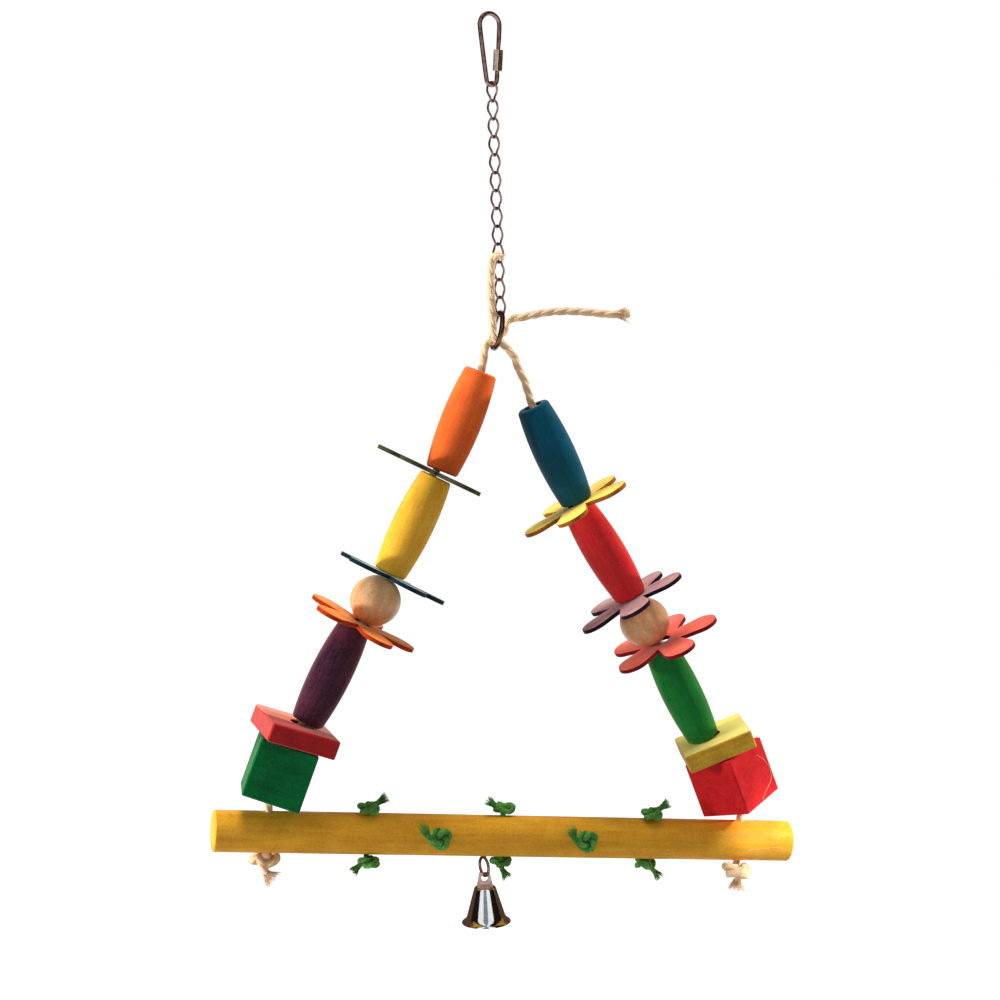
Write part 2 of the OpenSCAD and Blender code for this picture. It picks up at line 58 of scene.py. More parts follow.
lens = bpy.data.cameras.new("camera")
lens.sensor_fit = "HORIZONTAL"
lens.sensor_width = 36
lens.lens = lens.sensor_width * FOCAL_PIXELS / PICTURE_PIXELS
lens.clip_start = 0.01
lens.clip_end = 50
camera = bpy.data.objects.new("camera", lens)
bpy.context.scene.collection.objects.link(camera)
camera.matrix_world = Matrix.Translation((-0.2618, -1.1440, -0.1080)) @ Matrix(
    (right_way, up_way, -forward)).transposed().to_4x4()
bpy.context.scene.camera = camera
bpy.context.scene.view_settings.view_transform = "Standard"

# Loose ends of the rope: soft three-strand cotton, 4 mm thick. One end stands out to the right
# of the ring and is frayed, the other lies up the chain and is tucked across a link.
MM = 0.001


def through(points, step):
    """A smooth line through points in millimetres, one point about every step."""
    p = [Vector(q) for q in points]
    out = []
    for i in range(len(p) - 1):
        a, b, c, d = p[max(i - 1, 0)], p[i], p[i + 1], p[min(i + 2, len(p) - 1)]
        n = max(1, round((c - b).length / step))
        ta = (b - a).length ** 0.5 or (c - b).length ** 0.5
        tb = (c - b).length ** 0.5
        tc = (d - c).length ** 0.5 or tb
        m1 = (c - b) + tb * ((b - a) / ta - (c - a) / (ta + tb)) if i else (c - b)
        m2 = (c - b) + tb * ((d - c) / tc - (d - b) / (tb + tc)) if i < len(p) - 2 else (c - b)
        for k in range(n):
            t = k / n
            out.append(b + t * m1 + t * t * (3 * (c - b) - 2 * m1 - m2) + t ** 3 * (2 * (b - c) + m1 + m2))
    out.append(p[-1])
    return out


def carried(line):
    """Each point's direction with two normals that don't twist along the line."""
    frames = []
    side = Vector((0, 0, 1))
    for i, q in enumerate(line):
        way = (line[min(i + 1, len(line) - 1)] - line[max(i - 1, 0)]).normalized()
        if not i and abs(way.z) > 0.8:
            side = Vector((0, 1, 0))
        side = (side - side.dot(way) * way).normalized()
        frames.append((way, side, way.cross(side)))
    return frames


def sweep(parts, line, frames, radius, sides, offset=None):
    """Adds one tube to parts = (points, faces, lengths): radius and offset are functions of the index."""
    points, faces, marks = parts
    base = len(points)
    run = 0
    for i, q in enumerate(line):
        way, u, v = frames[i]
        if i:
            run += (line[i] - line[i - 1]).length
        c = q + (offset(i, run, u, v) if offset else Vector())
        for k in range(sides):
            a = 2 * math.pi * k / sides
            points.append(c + radius(i, run) * (math.cos(a) * u + math.sin(a) * v))
            marks.append((run, k / sides))
    n = len(line)
    for i in range(n - 1):
        for k in range(sides):
            a, b = base + i * sides + k, base + i * sides + (k + 1) % sides
            faces.append((a, b, b + sides, a + sides))
    faces.append(tuple(base + k for k in range(sides - 1, -1, -1)))
    faces.append(tuple(base + (n - 1) * sides + k for k in range(sides)))


def hairs(parts, line, frames, reach, count, length, seed, thick=0.035):
    """Adds short loose fibres that stand off a cord of that radius."""
    dice = random.Random(seed)
    for _ in range(count):
        i = dice.randrange(1, len(line) - 1)
        way, u, v = frames[i]
        a = dice.uniform(0, 2 * math.pi)
        out = math.cos(a) * u + math.sin(a) * v
        side = out.cross(way) * dice.choice((-1, 1))
        size = length * dice.uniform(0.4, 1)
        along = way * dice.choice((-1, 1)) * 0.8
        bend = side * dice.uniform(0, 0.9)
        strand = [line[i] + out * reach * 0.85 + size * t * (out * 0.55 + along * 0.6 + bend * t - out * 0.35 * t)
                  for t in (0, 0.4, 0.75, 1)]
        w = thick * dice.uniform(0.7, 1.3)
        sweep(parts, strand, carried(strand), lambda k, run: w * (1, 0.9, 0.6, 0.15)[k], 3)


def brush(parts, at, way, count, length, spread, radius, seed, droop=0.0, thick=0.06):
    """Adds the frayed fibres of a cut end."""
    dice = random.Random(seed)
    way = way.normalized()
    u = way.orthogonal().normalized()
    v = way.cross(u)
    for _ in range(count):
        a = dice.uniform(0, 2 * math.pi)
        out = math.cos(a) * u + math.sin(a) * v
        side = math.cos(a + 1.5) * u + math.sin(a + 1.5) * v
        r = radius * math.sqrt(dice.random())
        size = length * dice.uniform(0.45, 1)
        curl = dice.uniform(-0.5, 0.5)
        strand = [at + out * r * 0.85 - way * 0.8 + size * t * way
                  + (out * spread * r / radius * t * t + side * curl * t * t - Vector((0, 0, droop)) * t * t) * size
                  for t in (0, 0.3, 0.55, 0.8, 1)]
        w = thick * dice.uniform(0.7, 1.3)
        sweep(parts, strand, carried(strand), lambda k, run: w * (1, 1, 0.9, 0.6, 0.15)[k], 3)


def laid(parts, line, frames, radius, lay):
    """Adds the three strands of a twisted cord, laid round its line."""
    for s in range(3):
        turn = 2 * math.pi * s / 3

        def place(i, run, u, v, turn=turn):
            a = turn - 2 * math.pi * run / lay
            return radius * 0.38 * (math.cos(a) * u + math.sin(a) * v)
        sweep(parts, line, frames, lambda i, run: radius * 0.65, 8, place)


def made(name, parts, material):
    """Makes a piece of the points and faces that were added, in millimetres."""
    points, faces, marks = parts
    mesh = bpy.data.meshes.new(name)
    mesh.from_pydata([q * MM for q in points], [], faces)
    layer = mesh.uv_layers.new(name="UVMap")
    spots = [0.0] * (2 * len(mesh.loops))
    for loop in mesh.loops:
        run, share = marks[loop.vertex_index]
        spots[2 * loop.index] = run * 0.1
        spots[2 * loop.index + 1] = share
    layer.data.foreach_set("uv", spots)
    mesh.polygons.foreach_set("use_smooth", [True] * len(mesh.polygons))
    mesh.materials.append(material)
    mesh.update()
    piece = bpy.data.objects.new(name, mesh)
    bpy.context.scene.collection.objects.link(piece)
    return piece


def paint(r, g, b):
    """A colour as it looks on a screen, from 0 to 255, as the shader wants it."""
    return tuple((c / 255 / 12.92 if c <= 10 else ((c / 255 + 0.055) / 1.055) ** 2.4) for c in (r, g, b)) + (1,)


def fibre(name, light, dark, rough, fine, bloom, tint):
    """Fibre that runs along a cord's length, with lighter and darker yarns."""
    m = bpy.data.materials.new(name)
    m.use_nodes = True
    n, wire = m.node_tree.nodes, m.node_tree.links.new
    shader = n["Principled BSDF"]
    place = n.new("ShaderNodeTexCoord")
    stretch = n.new("ShaderNodeMapping")
    stretch.inputs["Scale"].default_value = (fine * 0.35, fine * 0.8, 1)
    yarn = n.new("ShaderNodeTexNoise")
    yarn.inputs["Scale"].default_value = 6
    yarn.inputs["Detail"].default_value = 5
    patch = n.new("ShaderNodeTexNoise")
    patch.inputs["Scale"].default_value = 260
    patch.inputs["Detail"].default_value = 3
    both = n.new("ShaderNodeMix")
    both.inputs[0].default_value = 0.4
    ramp = n.new("ShaderNodeValToRGB")
    ramp.color_ramp.elements[0].position = 0.32
    ramp.color_ramp.elements[0].color = dark
    ramp.color_ramp.elements[1].position = 0.62
    ramp.color_ramp.elements[1].color = light
    bump = n.new("ShaderNodeBump")
    bump.inputs["Strength"].default_value = 0.6
    bump.inputs["Distance"].default_value = 0.00025
    wire(place.outputs["UV"], stretch.inputs["Vector"])
    wire(stretch.outputs[0], yarn.inputs["Vector"])
    wire(place.outputs["Object"], patch.inputs["Vector"])
    wire(yarn.outputs["Fac"], both.inputs[2])
    wire(patch.outputs["Fac"], both.inputs[3])
    wire(both.outputs[0], ramp.inputs["Fac"])
    wire(ramp.outputs["Color"], shader.inputs["Base Color"])
    wire(yarn.outputs["Fac"], bump.inputs["Height"])
    wire(bump.outputs[0], shader.inputs["Normal"])
    shader.inputs["Roughness"].default_value = rough
    shader.inputs["Specular IOR Level"].default_value = 0.2
    shader.inputs["Sheen Weight"].default_value = bloom
    shader.inputs["Sheen Roughness"].default_value = 0.6
    shader.inputs["Sheen Tint"].default_value = tint
    return m


cotton = fibre("natural cotton", paint(255, 226, 184), paint(255, 204, 152), 0.9, 14, 1.0, (1, 0.82, 0.6, 1))
ROPE_R = 2.0
ROPE_LAY = 20.0
side_end = [(8.561, 1.4, -150.728), (11.561, 1.1, -150.428), (15.061, 0.5, -149.828), (21.061, 0, -148.828),
            (27.061, 0, -148.328), (34.061, 0, -148.328), (41.061, 0, -148.828), (49.061, 0, -149.828),
            (56.061, 0, -150.828), (67.461, 0, -151.328)]
up_end = [(-4.839, -3.2, -154.328), (-4.839, -3.2, -150.328), (-5.039, -3.3, -144.328), (-5.139, -3.3, -138.328),
          (-5.039, -3.3, -132.328), (-4.639, -3.4, -126.328), (-4.139, -3.6, -121.328), (-2.139, -4.8, -118.828),
          (0.861, -5.4, -119.828)]
for name, route, node, length in (("side_rope_end", side_end, "rope_tail_side", 0.0594),
                                  ("upper_rope_end", up_end, "rope_tail_up", 0.0398)):
    line = through(route, 0.7)
    frames = carried(line)
    parts = ([], [], [])
    laid(parts, line, frames, ROPE_R, ROPE_LAY)
    rope_end = made(name, parts, cotton)
    parts = ([], [], [])
    hairs(parts, line, frames, ROPE_R, 90, 1.6, name)
    long_end = name == "side_rope_end"
    if long_end:
        brush(parts, line[-11], line[-1] - line[-3], 260, 8.6, 0.22, ROPE_R * 1.1, name + "_brush", 0, 0.12)
    else:
        brush(parts, line[-1], line[-1] - line[-3], 90, 2.4, 0.4, ROPE_R * 1.1, name + "_brush")
    frayed = made(name + "_fray", parts, cotton)
    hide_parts(node)
    for piece in (rope_end, frayed):
        if long_end:
            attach(piece, "swing")
        else:
            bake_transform(piece)

# Ropes: the same cotton, from the ring down through each strand and the perch to an overhand
# knot whose short end hangs frayed. A piece slides along its rope and the knot stops it all.


def overhand(radius, tail, droop, turn, flip=False):
    """The line of an overhand knot: a trefoil cut open on one crossing, bearing at the height 0."""
    def trefoil(t):
        t = math.radians(t)
        w = 2.25 + 1.06 * math.cos(3 * t)
        return radius * Vector((w * math.cos(2 * t), w * math.sin(2 * t), 1.06 * math.sin(3 * t)))

    def heading(t):
        d = trefoil(t + 1) - trefoil(t - 1)
        return Vector((d.x, d.y, 0)).normalized()
    first, last = 46, 374
    bend = 1.15 * radius
    enter, way, leave = trefoil(first), heading(first), trefoil(last)
    origin = enter - bend * way + Vector((0, 0, 2.06 * radius + 0.3 - enter.z))
    out = (heading(last) + Vector((0, 0, -droop))).normalized()
    up = Vector((0, 0, 1))
    line = [enter + bend * up - bend * (math.cos(math.radians(a)) * way + math.sin(math.radians(a)) * up)
            for a in (0, 30, 60)]
    line += [trefoil(first + (last - first) * s / 30) for s in range(31)]
    line += [leave + s * tail * (out - Vector((0, 0, 0.5 * s * droop))).normalized() for s in (0.25, 0.5, 0.75, 1)]
    a = math.radians(turn)
    line = [q - origin for q in line]
    line = [Vector((q.x * math.cos(a) - q.y * math.sin(a), q.x * math.sin(a) + q.y * math.cos(a), q.z)) for q in line]
    return [Vector((-q.x, q.y, -q.z)) for q in line] if flip else line


perch_way = Vector((0.993584, 0, -0.113093))
perch_up = Vector((0.113093, 0, 0.993584))
PERCH_R = 10.6
ring_left = [(8.561, 1.4, -150.728), (5.561, 1.7, -151.028), (3.161, 2.2, -153.328), (1.961, 2.3, -156.928),
             (-0.839, 2.3, -159.928), (-4.339, 1.2, -161.528), (-7.939, 0.4, -163.328), (-9.139, 0, -167.328)]
left_run = [(-11.293, 0, -176.777), (-36.295, 0, -225.413), (-38.055, 0, -227.609), (-61.864, 0, -276.967),
            (-63.493, 0, -279.078), (-77.076, 0, -300.068), (-80.073, 0, -301.851), (-110.599, 0, -348.793),
            (-116.879, 0, -358.094), (-129.131, 0, -386.524)]
ring_right = [(-4.839, -3.2, -154.328), (-4.839, -3.2, -157.328), (-3.439, -2.9, -160.328),
              (-0.639, -2.4, -162.528), (2.561, -1.4, -165.528), (5.961, -0.6, -169.728), (8.261, 0, -176.328),
              (11.061, 0, -182.328)]
right_run = [(14.832, 0, -195.689), (35.905, 0, -246.333), (36.742, 0, -249.195), (63.110, 0, -297.578),
             (64.092, 0, -300.215), (77.819, 0, -321.377), (79.481, 0, -323.935), (103.123, 0, -373.979),
             (109.690, 0, -382.837), (120.416, 0, -411.753)]
for name, start, run, hole, turn, droop in (
        ("left_rope", ring_left, left_run, Vector((-131.034, 0, -403.243)), 200, 0.9),
        ("right_rope", ring_right, right_run, Vector((118.157, 0, -431.607)), 8, 1.6)):
    knot = [hole - PERCH_R * perch_up + q.x * perch_way + q.y * Vector((0, 1, 0)) + q.z * perch_up
            for q in overhand(ROPE_R, 9, droop, turn)]
    points = [Vector(q) for q in start + run] + [hole + (PERCH_R + 0.3) * perch_up, hole - PERCH_R * perch_up] + knot
    line = through(points, 0.7)
    frames = carried(line)
    parts = ([], [], [])
    laid(parts, line, frames, ROPE_R, ROPE_LAY)
    hairs(parts, line, frames, ROPE_R, 420, 1.7, name)
    aside = Vector((0.9, 0, -0.2)) if name == "left_rope" else Vector((0.1, 0, -0.4))
    brush(parts, line[-1], (line[-1] - line[-4]).normalized() + aside, 260, 7, 0.75, ROPE_R * 1.25,
          name + "_brush", 0.1, 0.08)
    rope = made(name, parts, cotton)
    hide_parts("rope_left" if name == "left_rope" else "rope_right")
    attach(rope, "swing")

# Stray cotton fibres: two long ones have come off the rope in threading. One clings to the red
# cube and turns with it, the other lies on the perch.
on_cube = [(127.15, -7.99, -384.79), (131.75, -5.65, -388.39), (135.39, -4.40, -393.83), (135.32, -5.74, -399.45),
           (130.99, -9.79, -404.05), (128.31, -12.43, -407.49)]
on_perch = [(118.56, -9.58, -436.56), (122.22, -10.32, -435.11), (128.24, -10.55, -434.83), (133.76, -10.66, -434.81),
            (139.31, -10.63, -435.63)]
for name, way, body in (("fibre_on_cube", on_cube, "turn_cube_red"), ("fibre_on_perch", on_perch, "swing")):
    line = through(way, 0.6)
    parts = ([], [], [])
    sweep(parts, line, carried(line), lambda i, run: 0.1, 5)
    stray = made(name, parts, cotton)
    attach(stray, body)

# Twine: short lengths of hairy green jute, 2.9 mm thick, drawn through holes in the perch and
# knotted on both sides so that a bird can pull at the frayed ends.
jute = fibre("green jute", paint(112, 196, 88), paint(0, 34, 20), 0.9, 10, 0.2, (0.7, 1, 0.4, 1))
TWINE_R = 1.45
TWINE_LAY = 8.5
PERCH_LENGTH = 306
perch_start = Vector((-158.457, 0, -400.122))
places = (0.259, 0.364, 0.488, 0.616, 0.751)
turns = ((43, 43), (268, 133), (223, 172), (268, 133), (43, 223))
for k in range(5):
    at = perch_start + places[k] * PERCH_LENGTH * perch_way
    up = Vector((0, -1, 0)) if k % 2 else perch_up
    side = up.cross(perch_way)

    def on_hole(q, base):
        return base + q.x * perch_way + q.y * side + q.z * up
    high = [on_hole(q, at + PERCH_R * up) for q in overhand(TWINE_R, 9, 0.3, turns[k][0], True)]
    low = [on_hole(q, at - PERCH_R * up) for q in overhand(TWINE_R, 9, 0.5, turns[k][1])]
    line = through(high[::-1] + low, 0.5)
    frames = carried(line)
    parts = ([], [], [])
    laid(parts, line, frames, TWINE_R, TWINE_LAY)
    hairs(parts, line, frames, TWINE_R, 650, 3.0, "twine%d" % k, thick=0.05)
    brush(parts, line[1], line[0] - line[3], 240, 6, 0.3, 1.7, "high%d" % k, -0.6 if k % 2 else -0.1, 0.1)
    brush(parts, line[-2], line[-1] - line[-4], 200, 5, 0.4, 1.7, "low%d" % k, thick=0.1)
    twine = made("twine_knots_%d" % (k + 1), parts, jute)
    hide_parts("twine_%d" % (k + 1))
    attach(twine, "swing")

# Chain: thirteen links of plated steel wire, each bent to an oval and twisted a quarter turn.
# The quick link above it is the same wire, thicker, and its gap is closed by a screw sleeve.


def plate(name, colour, rough, mottle):
    """Bright plating with faint wear: small changes of gloss and a shallow ripple."""
    m = bpy.data.materials.new(name)
    m.use_nodes = True
    n, wire = m.node_tree.nodes, m.node_tree.links.new
    shader = n["Principled BSDF"]
    place = n.new("ShaderNodeTexCoord")
    wear = n.new("ShaderNodeTexNoise")
    wear.inputs["Scale"].default_value = 420
    wear.inputs["Detail"].default_value = 6
    gloss = n.new("ShaderNodeMapRange")
    gloss.inputs["To Min"].default_value = rough * 0.6
    gloss.inputs["To Max"].default_value = rough * 1.5
    tint = n.new("ShaderNodeValToRGB")
    tint.color_ramp.elements[0].position = 0.3
    tint.color_ramp.elements[0].color = mottle
    tint.color_ramp.elements[1].position = 0.6
    tint.color_ramp.elements[1].color = colour
    bump = n.new("ShaderNodeBump")
    bump.inputs["Strength"].default_value = 0.15
    bump.inputs["Distance"].default_value = 0.0001
    wire(place.outputs["Object"], wear.inputs["Vector"])
    wire(wear.outputs["Fac"], gloss.inputs["Value"])
    wire(wear.outputs["Fac"], tint.inputs["Fac"])
    wire(wear.outputs["Fac"], bump.inputs["Height"])
    wire(tint.outputs["Color"], shader.inputs["Base Color"])
    wire(gloss.outputs["Result"], shader.inputs["Roughness"])
    wire(bump.outputs[0], shader.inputs["Normal"])
    shader.inputs["Metallic"].default_value = 1
    return m


def finish_node(node, material):
    """Gives a CAD node its finish."""
    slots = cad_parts[node].data.materials
    slots.clear()
    slots.append(material)


def rounded(node, name, swell, body, material):
    """Replaces a swept node by a copy whose flat sides are rounded and whose wire is as thick."""
    bpy.ops.object.select_all(action="DESELECT")
    piece = bpy.data.objects.new(name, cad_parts[node].data.copy())
    bpy.context.scene.collection.objects.link(piece)
    bpy.context.view_layer.objects.active = piece
    piece.select_set(True)
    bpy.ops.object.mode_set(mode="EDIT")
    bpy.ops.mesh.select_all(action="SELECT")
    bpy.ops.mesh.remove_doubles(threshold=0.000002)
    bpy.ops.mesh.tris_convert_to_quads(face_threshold=0.9, shape_threshold=0.9)
    bpy.ops.object.mode_set(mode="OBJECT")
    soft = piece.modifiers.new("soft", "SUBSURF")
    soft.levels = 2
    soft.render_levels = 2
    bpy.ops.object.modifier_apply(modifier="soft")
    bpy.ops.object.mode_set(mode="EDIT")
    bpy.ops.mesh.select_all(action="SELECT")
    bpy.ops.transform.shrink_fatten(value=swell)
    bpy.ops.object.mode_set(mode="OBJECT")
    bpy.ops.object.shade_smooth()
    bpy.ops.object.select_all(action="DESELECT")
    piece.data.materials.clear()
    piece.data.materials.append(material)
    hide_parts(node)
    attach(piece, body)


steel = plate("plated steel", paint(158, 130, 122), 0.26, paint(104, 78, 72))
for k in range(1, 14):
    rounded("chain_link_%02d" % k, "round_link_%02d" % k, 0.00009, "link_%02d" % k, steel)
rounded("quick_link", "round_quick_link", 0.00005, "hook", steel)
finish_node("quick_link_nut", plate("bright sleeve", paint(226, 214, 196), 0.24, paint(190, 170, 146)))

# Ring and screw eye: round steel wire, bent and closed. The ring has darkened, and the eye's wire is
# nickel plated and ends in a shank that is screwed up into the perch.
finish_node("ring", plate("dark ring", paint(104, 78, 70), 0.14, paint(66, 46, 42)))
finish_node("screw_eye", plate("nickel wire", paint(176, 148, 138), 0.2, paint(118, 92, 84)))

# Barrel beads, balls and blocks: turned or sawn wood, soaked in dye so that the grain still
# shows and the colour is uneven, then waxed. The balls are left bare.


def dyed(name, light, dark, lean, middle, rough, grain=1.0, coat=0.0, bloom=0.1, tint=(1, 0.82, 0.72, 1), painted_top_light=None):
    """Dyed wood with its grain along the piece, lean in degrees from upright, middle in millimetres."""
    m = bpy.data.materials.new(name)
    m.use_nodes = True
    n, wire = m.node_tree.nodes, m.node_tree.links.new
    shader = n["Principled BSDF"]
    place = n.new("ShaderNodeTexCoord")
    centre = n.new("ShaderNodeVectorMath")
    centre.operation = "SUBTRACT"
    centre.inputs[1].default_value = [c * MM for c in middle]
    turn = n.new("ShaderNodeVectorRotate")
    turn.rotation_type = "Y_AXIS"
    turn.inputs["Angle"].default_value = -math.radians(lean)
    stretch = n.new("ShaderNodeMapping")
    stretch.inputs["Scale"].default_value = (1, 1, 0.07)
    lines = n.new("ShaderNodeTexNoise")
    lines.inputs["Scale"].default_value = 520 * grain
    lines.inputs["Detail"].default_value = 8
    lines.inputs["Roughness"].default_value = 0.6
    lines.inputs["Distortion"].default_value = 0.3
    broad = n.new("ShaderNodeTexNoise")
    broad.inputs["Scale"].default_value = 95
    broad.inputs["Detail"].default_value = 5
    speck = n.new("ShaderNodeTexNoise")
    speck.inputs["Scale"].default_value = 1150
    speck.inputs["Detail"].default_value = 3
    mix = n.new("ShaderNodeMix")
    mix.inputs[0].default_value = 0.45
    grit = n.new("ShaderNodeMix")
    grit.inputs[0].default_value = 0.4
    ramp = n.new("ShaderNodeValToRGB")
    ramp.color_ramp.elements[0].position = 0.38
    ramp.color_ramp.elements[0].color = dark
    ramp.color_ramp.elements[1].position = 0.6
    ramp.color_ramp.elements[1].color = light
    gloss = n.new("ShaderNodeMapRange")
    gloss.inputs["To Min"].default_value = rough - 0.08
    gloss.inputs["To Max"].default_value = rough + 0.14
    bump = n.new("ShaderNodeBump")
    bump.inputs["Strength"].default_value = 0.28
    bump.inputs["Distance"].default_value = 0.00012
    wire(place.outputs["Object"], centre.inputs[0])
    wire(centre.outputs[0], turn.inputs["Vector"])
    wire(turn.outputs[0], stretch.inputs["Vector"])
    wire(stretch.outputs[0], lines.inputs["Vector"])
    wire(turn.outputs[0], broad.inputs["Vector"])
    wire(turn.outputs[0], speck.inputs["Vector"])
    wire(lines.outputs["Fac"], mix.inputs[2])
    wire(broad.outputs["Fac"], mix.inputs[3])
    wire(mix.outputs[0], grit.inputs[2])
    wire(speck.outputs["Fac"], grit.inputs[3])
    wire(grit.outputs[0], ramp.inputs["Fac"])
    wire(ramp.outputs["Color"], shader.inputs["Base Color"])
    # Painted highlight: the top face, past the given distance from the middle, is mixed three quarters of the way to
    # a paler colour, which stands for light falling from above.
    if painted_top_light:
        split = n.new("ShaderNodeSeparateXYZ")
        crown = n.new("ShaderNodeMath")
        crown.operation = "LESS_THAN"
        crown.inputs[1].default_value = -painted_top_light[0] * MM
        share = n.new("ShaderNodeMath")
        share.operation = "MULTIPLY"
        share.inputs[1].default_value = 0.75
        top_light_mix = n.new("ShaderNodeMix")
        top_light_mix.data_type = "RGBA"
        top_light_mix.inputs[7].default_value = painted_top_light[1]
        wire(turn.outputs[0], split.inputs[0])
        wire(split.outputs["X"], crown.inputs[0])
        wire(crown.outputs[0], share.inputs[0])
        wire(share.outputs[0], top_light_mix.inputs[0])
        wire(ramp.outputs["Color"], top_light_mix.inputs[6])
        wire(top_light_mix.outputs[2], shader.inputs["Base Color"])
    wire(lines.outputs["Fac"], gloss.inputs["Value"])
    wire(gloss.outputs["Result"], shader.inputs["Roughness"])
    wire(grit.outputs[0], bump.inputs["Height"])
    wire(bump.outputs[0], shader.inputs["Normal"])
    shader.inputs["Specular IOR Level"].default_value = 0.12 + 0.35 * coat
    shader.inputs["Sheen Weight"].default_value = bloom
    shader.inputs["Sheen Roughness"].default_value = 0.4
    shader.inputs["Sheen Tint"].default_value = tint
    shader.inputs["Coat Weight"].default_value = coat
    shader.inputs["Coat Roughness"].default_value = 0.38
    return m


turned = {
    "bead_orange": ((250, 118, 50), (232, 92, 38), 24.5, (-22.531, 0, -201.437), 0.55, 0.1, (1, 0.8, 0.6, 1)),
    "bead_yellow": ((255, 200, 66), (236, 164, 46), 28.8, (-49.596, 0, -252.414), 0.55, 0.1, (1, 0.9, 0.6, 1)),
    "bead_purple": ((84, 38, 54), (20, 8, 34), 29.5, (-94.909, 0, -325.325), 0.55, 0.55, (1, 0.6, 0.5, 1)),
    "bead_teal": ((0, 86, 110), (0, 64, 86), -23.5, (25.638, 0, -220.541), 0.55, 0.15, (1, 0.85, 0.8, 1)),
    "bead_red": ((234, 54, 54), (202, 32, 42), -29.5, (50.371, 0, -273.135), 0.55, 0.2, (1, 0.6, 0.4, 1)),
    "bead_green": ((18, 130, 52), (2, 98, 40), -24.5, (89.323, 0, -349.835), 0.55, 0.35, (1, 0.95, 0.35, 1)),
}
for node, (light, dark, lean, middle, rough, bloom, tint) in turned.items():
    finish_node(node, dyed(node + " dye", paint(*light), paint(*dark), lean, middle, rough, 1.0, 0.0, bloom, tint))
# Sawn pieces: light and dark dye, lean, middle and sheen. The plates also give the distance to their top face and a
# paler colour painted there, a painted highlight for light from above.
sawn = {
    "plate_red": ((196, 42, 42), (156, 18, 30), 22.5, (-114.385, 0, -353.224), 0.5, (4.75, (250, 150, 122))),
    "plate_yellow": ((224, 180, 56), (182, 132, 38), -20.3, (106.910, 0, -378.154), 0.5, (4.75, (255, 246, 132))),
    "cube_green": ((4, 114, 54), (0, 76, 40), 22.5, (-123.314, 0, -372.481), 0.15, None),
    "cube_red": ((232, 42, 44), (196, 20, 32), -18.5, (115.593, 0, -397.338), 0.15, None),
}
for node, (light, dark, lean, middle, bloom, painted_top_light) in sawn.items():
    finish_node(node, dyed(node + " dye", paint(*light), paint(*dark), lean + 90, middle, 0.7, 0.7, 0.0, bloom,
                           (1, 0.86, 0.7, 1), painted_top_light and (painted_top_light[0], paint(*painted_top_light[1]))))
for node, lean, middle in (("ball_left", 29, (-70.396, 0, -289.427)), ("ball_right", -29, (70.334, 0, -310.986))):
    finish_node(node, dyed(node + " bare", paint(236, 188, 138), paint(206, 144, 92), lean, middle, 0.3, 0.6, 0.4))

# Flowers: cut by laser from thin board, dyed on their faces, with edges that the cut has burnt
# dark. Each has five round petals and a bore for the rope, and its rims are slightly eased.
cut = {
    "flower_green": ((96, 106, 72), (52, 66, 46), (50, 46, 34), 28.5, 0, (-38.596, 0, -225.899), (1, 0.9, 0.7, 1)),
    "flower_teal": ((176, 200, 192), (92, 130, 134), (6, 28, 34), 29.5, -1, (-61.852, 0, -278.491), (1, 1, 1, 1)),
    "flower_orange": ((255, 158, 66), (255, 126, 44), (132, 38, 10), 30, 5, (-78.474, 0, -300.977),
                      (1, 0.66, 0.35, 1)),
    "flower_yellow": ((255, 236, 104), (252, 206, 66), (128, 70, 24), -27.5, -1.2, (36.034, 0, -247.970),
                      (1, 0.88, 0.5, 1)),
    "flower_purple": ((214, 160, 158), (150, 100, 106), (22, 8, 24), -28.5, -2.3, (63.208, 0, -299.147),
                      (1, 0.86, 0.86, 1)),
    "flower_red": ((250, 118, 94), (226, 82, 68), (92, 8, 16), -24, 4, (80.016, 0, -322.058), (1, 0.75, 0.65, 1)),
}
for node, (light, dark, burnt, lean, nod, middle, tint) in cut.items():
    bpy.ops.object.select_all(action="DESELECT")
    flower = bpy.data.objects.new(node + "_cut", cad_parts[node].data.copy())
    bpy.context.scene.collection.objects.link(flower)
    bpy.context.view_layer.objects.active = flower
    flower.select_set(True)
    bpy.ops.object.mode_set(mode="EDIT")
    bpy.ops.mesh.select_all(action="SELECT")
    bpy.ops.mesh.remove_doubles(threshold=0.000002)
    bpy.ops.mesh.dissolve_limited(angle_limit=math.radians(0.5))
    bpy.ops.object.mode_set(mode="OBJECT")
    flower.data.materials.clear()
    flower.data.materials.append(dyed(node + " dye", paint(*light), paint(*dark), lean + 90, middle, 0.55, 0.8,
                                      0.0, 0.6, tint))
    flower.data.materials.append(dyed(node + " burnt edge", paint(*[min(255, c * 1.5) for c in burnt]),
                                      paint(*burnt), lean, middle, 0.6, 1.6))
    through_way = Vector((math.cos(math.radians(nod)) * math.sin(math.radians(lean)), -math.sin(math.radians(nod)),
                          math.cos(math.radians(nod)) * math.cos(math.radians(lean))))
    for face in flower.data.polygons:
        face.material_index = 0 if abs(face.normal.dot(through_way)) > 0.7 else 1
    eased = flower.modifiers.new("eased", "BEVEL")
    eased.width = 0.00025
    eased.segments = 2
    eased.limit_method = "ANGLE"
    eased.angle_limit = math.radians(50)
    bpy.ops.object.modifier_apply(modifier="eased")
    bpy.ops.object.shade_smooth_by_angle(angle=math.radians(35))
    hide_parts(node)
    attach(flower, "turn_" + node)

# Perch: a 12 inch dowel, dyed yellow like the beads. It is drilled through for both ropes and the
# twines, and has a short hole below for the screw eye.
finish_node("perch", dyed("perch dye", paint(255, 190, 56), paint(222, 148, 36), 96.494,
                          (-6.4, 0, -417.4), 0.5, 0.8))

